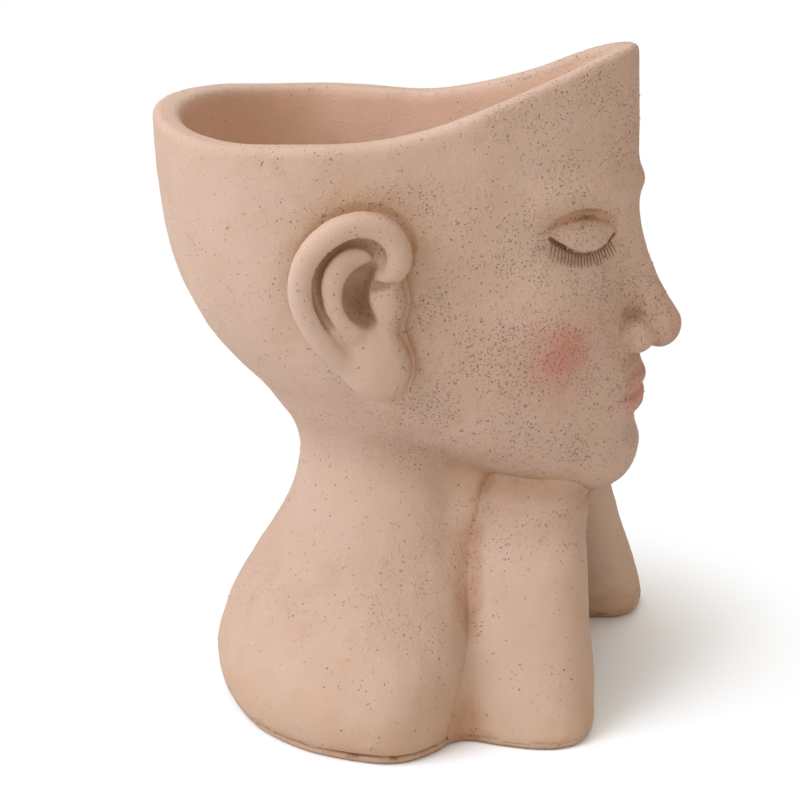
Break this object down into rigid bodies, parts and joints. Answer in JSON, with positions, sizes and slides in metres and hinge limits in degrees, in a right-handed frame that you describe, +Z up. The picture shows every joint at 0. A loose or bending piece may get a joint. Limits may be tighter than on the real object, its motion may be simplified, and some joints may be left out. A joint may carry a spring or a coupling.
{
  "type": "head planter",
  "caption": "Free-standing cast planter shaped as a bald head with closed eyes, chin on folded hands, open crown as the planting bowl, with a stoppered drain in the floor.",
  "frame": {"origin": "on the table, under the middle of the overall depth and on the plane of symmetry", "axes": "+Z up, face looks along -Y, +X to the head's own left"},
  "size_m": [0.1736, 0.1641, 0.1989],
  "materials": {
    "cast_body": "matte cast stone with fine pits and a terracotta wash in the creases",
    "cast_base": "matte cast stone, rubbed at the edges",
    "plug_rubber": "matte black rubber"
  },
  "bodies": {
    "bust": {"planter_shell": "cast_body", "base_plate": "cast_base", "right_ear": "cast_body", "left_ear": "cast_body", "right_forearm": "cast_body", "left_forearm": "cast_body", "right_elbow_cap": "cast_base", "left_elbow_cap": "cast_base"},
    "plug": {"drain_plug": "plug_rubber"}
  },
  "joints": [
    {"name": "drain_plug_pull", "type": "slide", "parent": "bust", "child": "plug", "axis": [0, 0, -1], "range_m": [0, 0.02]}
  ]
}
